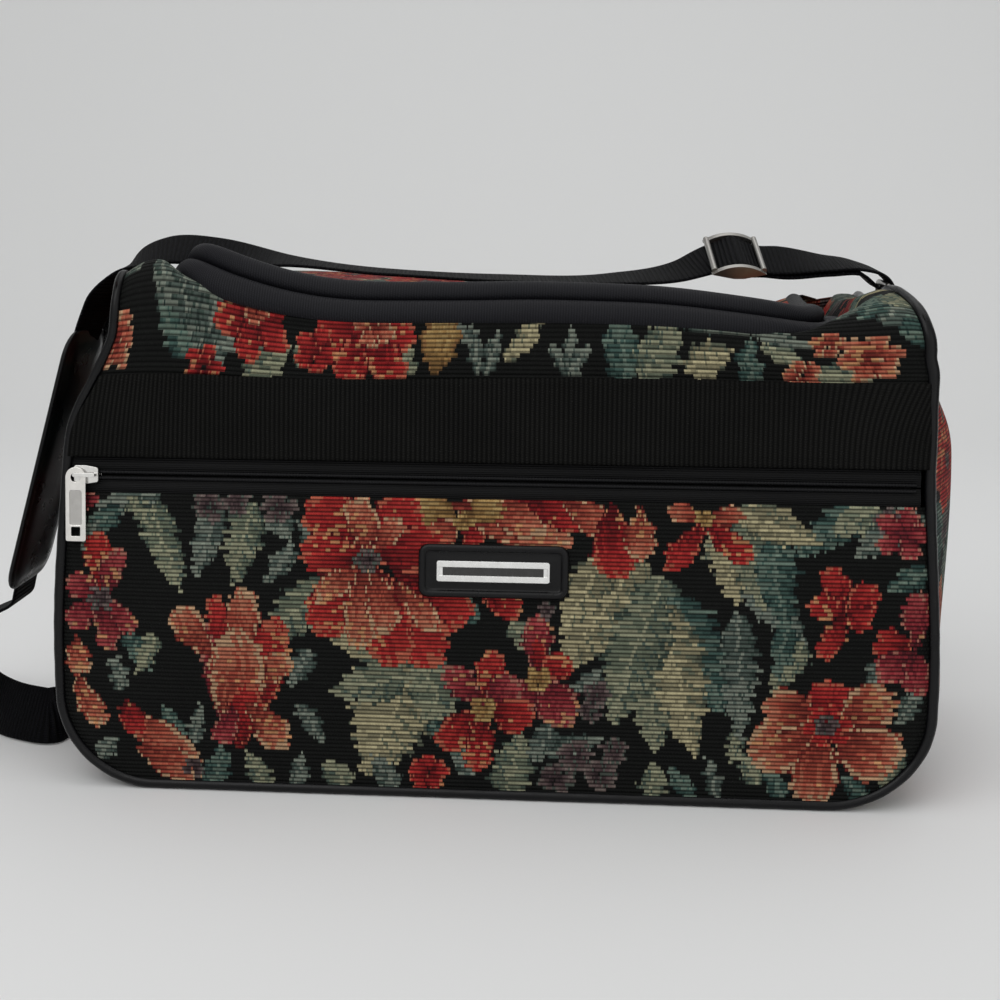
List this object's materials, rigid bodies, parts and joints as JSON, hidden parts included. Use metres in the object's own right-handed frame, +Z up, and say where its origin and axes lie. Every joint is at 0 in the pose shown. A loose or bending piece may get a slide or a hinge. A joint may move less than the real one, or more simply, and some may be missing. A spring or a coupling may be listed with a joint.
{
  "type": "soft carry-on shoulder bag",
  "caption": "Soft zip-topped shoulder bag in floral tapestry with vinyl piping, a webbing band, a zipped front pocket and a webbing strap with buckle and shoulder pad.",
  "frame": {"origin": "middle of the base, on the floor", "axes": "+Z up, the front with the pocket faces -Y, +X towards the end with the slide buckle"},
  "size_m": [0.5839, 0.1923, 0.2802],
  "materials": {
    "tapestry": "ribbed jacquard tapestry, floral on black",
    "webbing": "ribbed black webbing",
    "black_vinyl": "black vinyl, semi-gloss",
    "zip_tape": "charcoal woven tape",
    "zip_coil": "charcoal nylon coil",
    "silver_metal": "bright plated metal, slightly worn",
    "lining": "plain black lining",
    "board": "stiff black base board"
  },
  "bodies": {
    "bag": {"front_pocket_panel": "tapestry", "top_wrap": "tapestry", "back_panel": "tapestry", "left_gusset": "tapestry", "right_gusset": "tapestry", "bottom_panel": "tapestry", "lid": "tapestry", "front_band": "webbing", "shoulder_strap": "webbing", "front_piping": "black_vinyl", "back_piping": "black_vinyl", "left_top_piping": "black_vinyl", "right_top_piping": "black_vinyl", "badge_patch": "black_vinyl", "shoulder_pad": "black_vinyl", "left_strap_tab": "black_vinyl", "right_strap_tab": "black_vinyl", "pocket_zip_upper_tape": "zip_tape", "pocket_zip_lower_tape": "zip_tape", "top_zip_outer_tape": "zip_tape", "top_zip_inner_tape": "zip_tape", "pocket_zip_upper_coil": "zip_coil", "pocket_zip_lower_coil": "zip_coil", "top_zip_outer_coil": "zip_coil", "top_zip_inner_coil": "zip_coil", "badge_plate": "silver_metal", "left_strap_ring": "silver_metal", "right_strap_ring": "silver_metal", "slide_buckle": "silver_metal", "pocket_backing": "lining", "base_board": "board"},
    "pocket_slider": {"pocket_slider": "silver_metal"},
    "pocket_pull": {"pocket_pull": "silver_metal"},
    "lid_slider": {"top_slider": "silver_metal"},
    "lid_pull": {"top_pull": "silver_metal"}
  },
  "joints": [
    {"name": "pocket_zip", "type": "slide", "parent": "bag", "child": "pocket_slider", "axis": [1, 0, 0], "range_m": [0, 0.4]},
    {"name": "pocket_pull_swing", "type": "hinge", "parent": "pocket_slider", "child": "pocket_pull", "pos_m": [-0.2107, -0.07536, 0.16134], "axis": [0, -0.9903, 0.1392], "range_deg": [-120, 40]},
    {"name": "lid_zip", "type": "slide", "parent": "bag", "child": "lid_slider", "axis": [0, -1, 0], "range_m": [0, 0.042]},
    {"name": "lid_pull_turn", "type": "hinge", "parent": "lid_slider", "child": "lid_pull", "pos_m": [-0.17191, 0.0677, 0.25214], "axis": [0.7193, 0, 0.6947], "range_deg": [0, 170]}
  ]
}
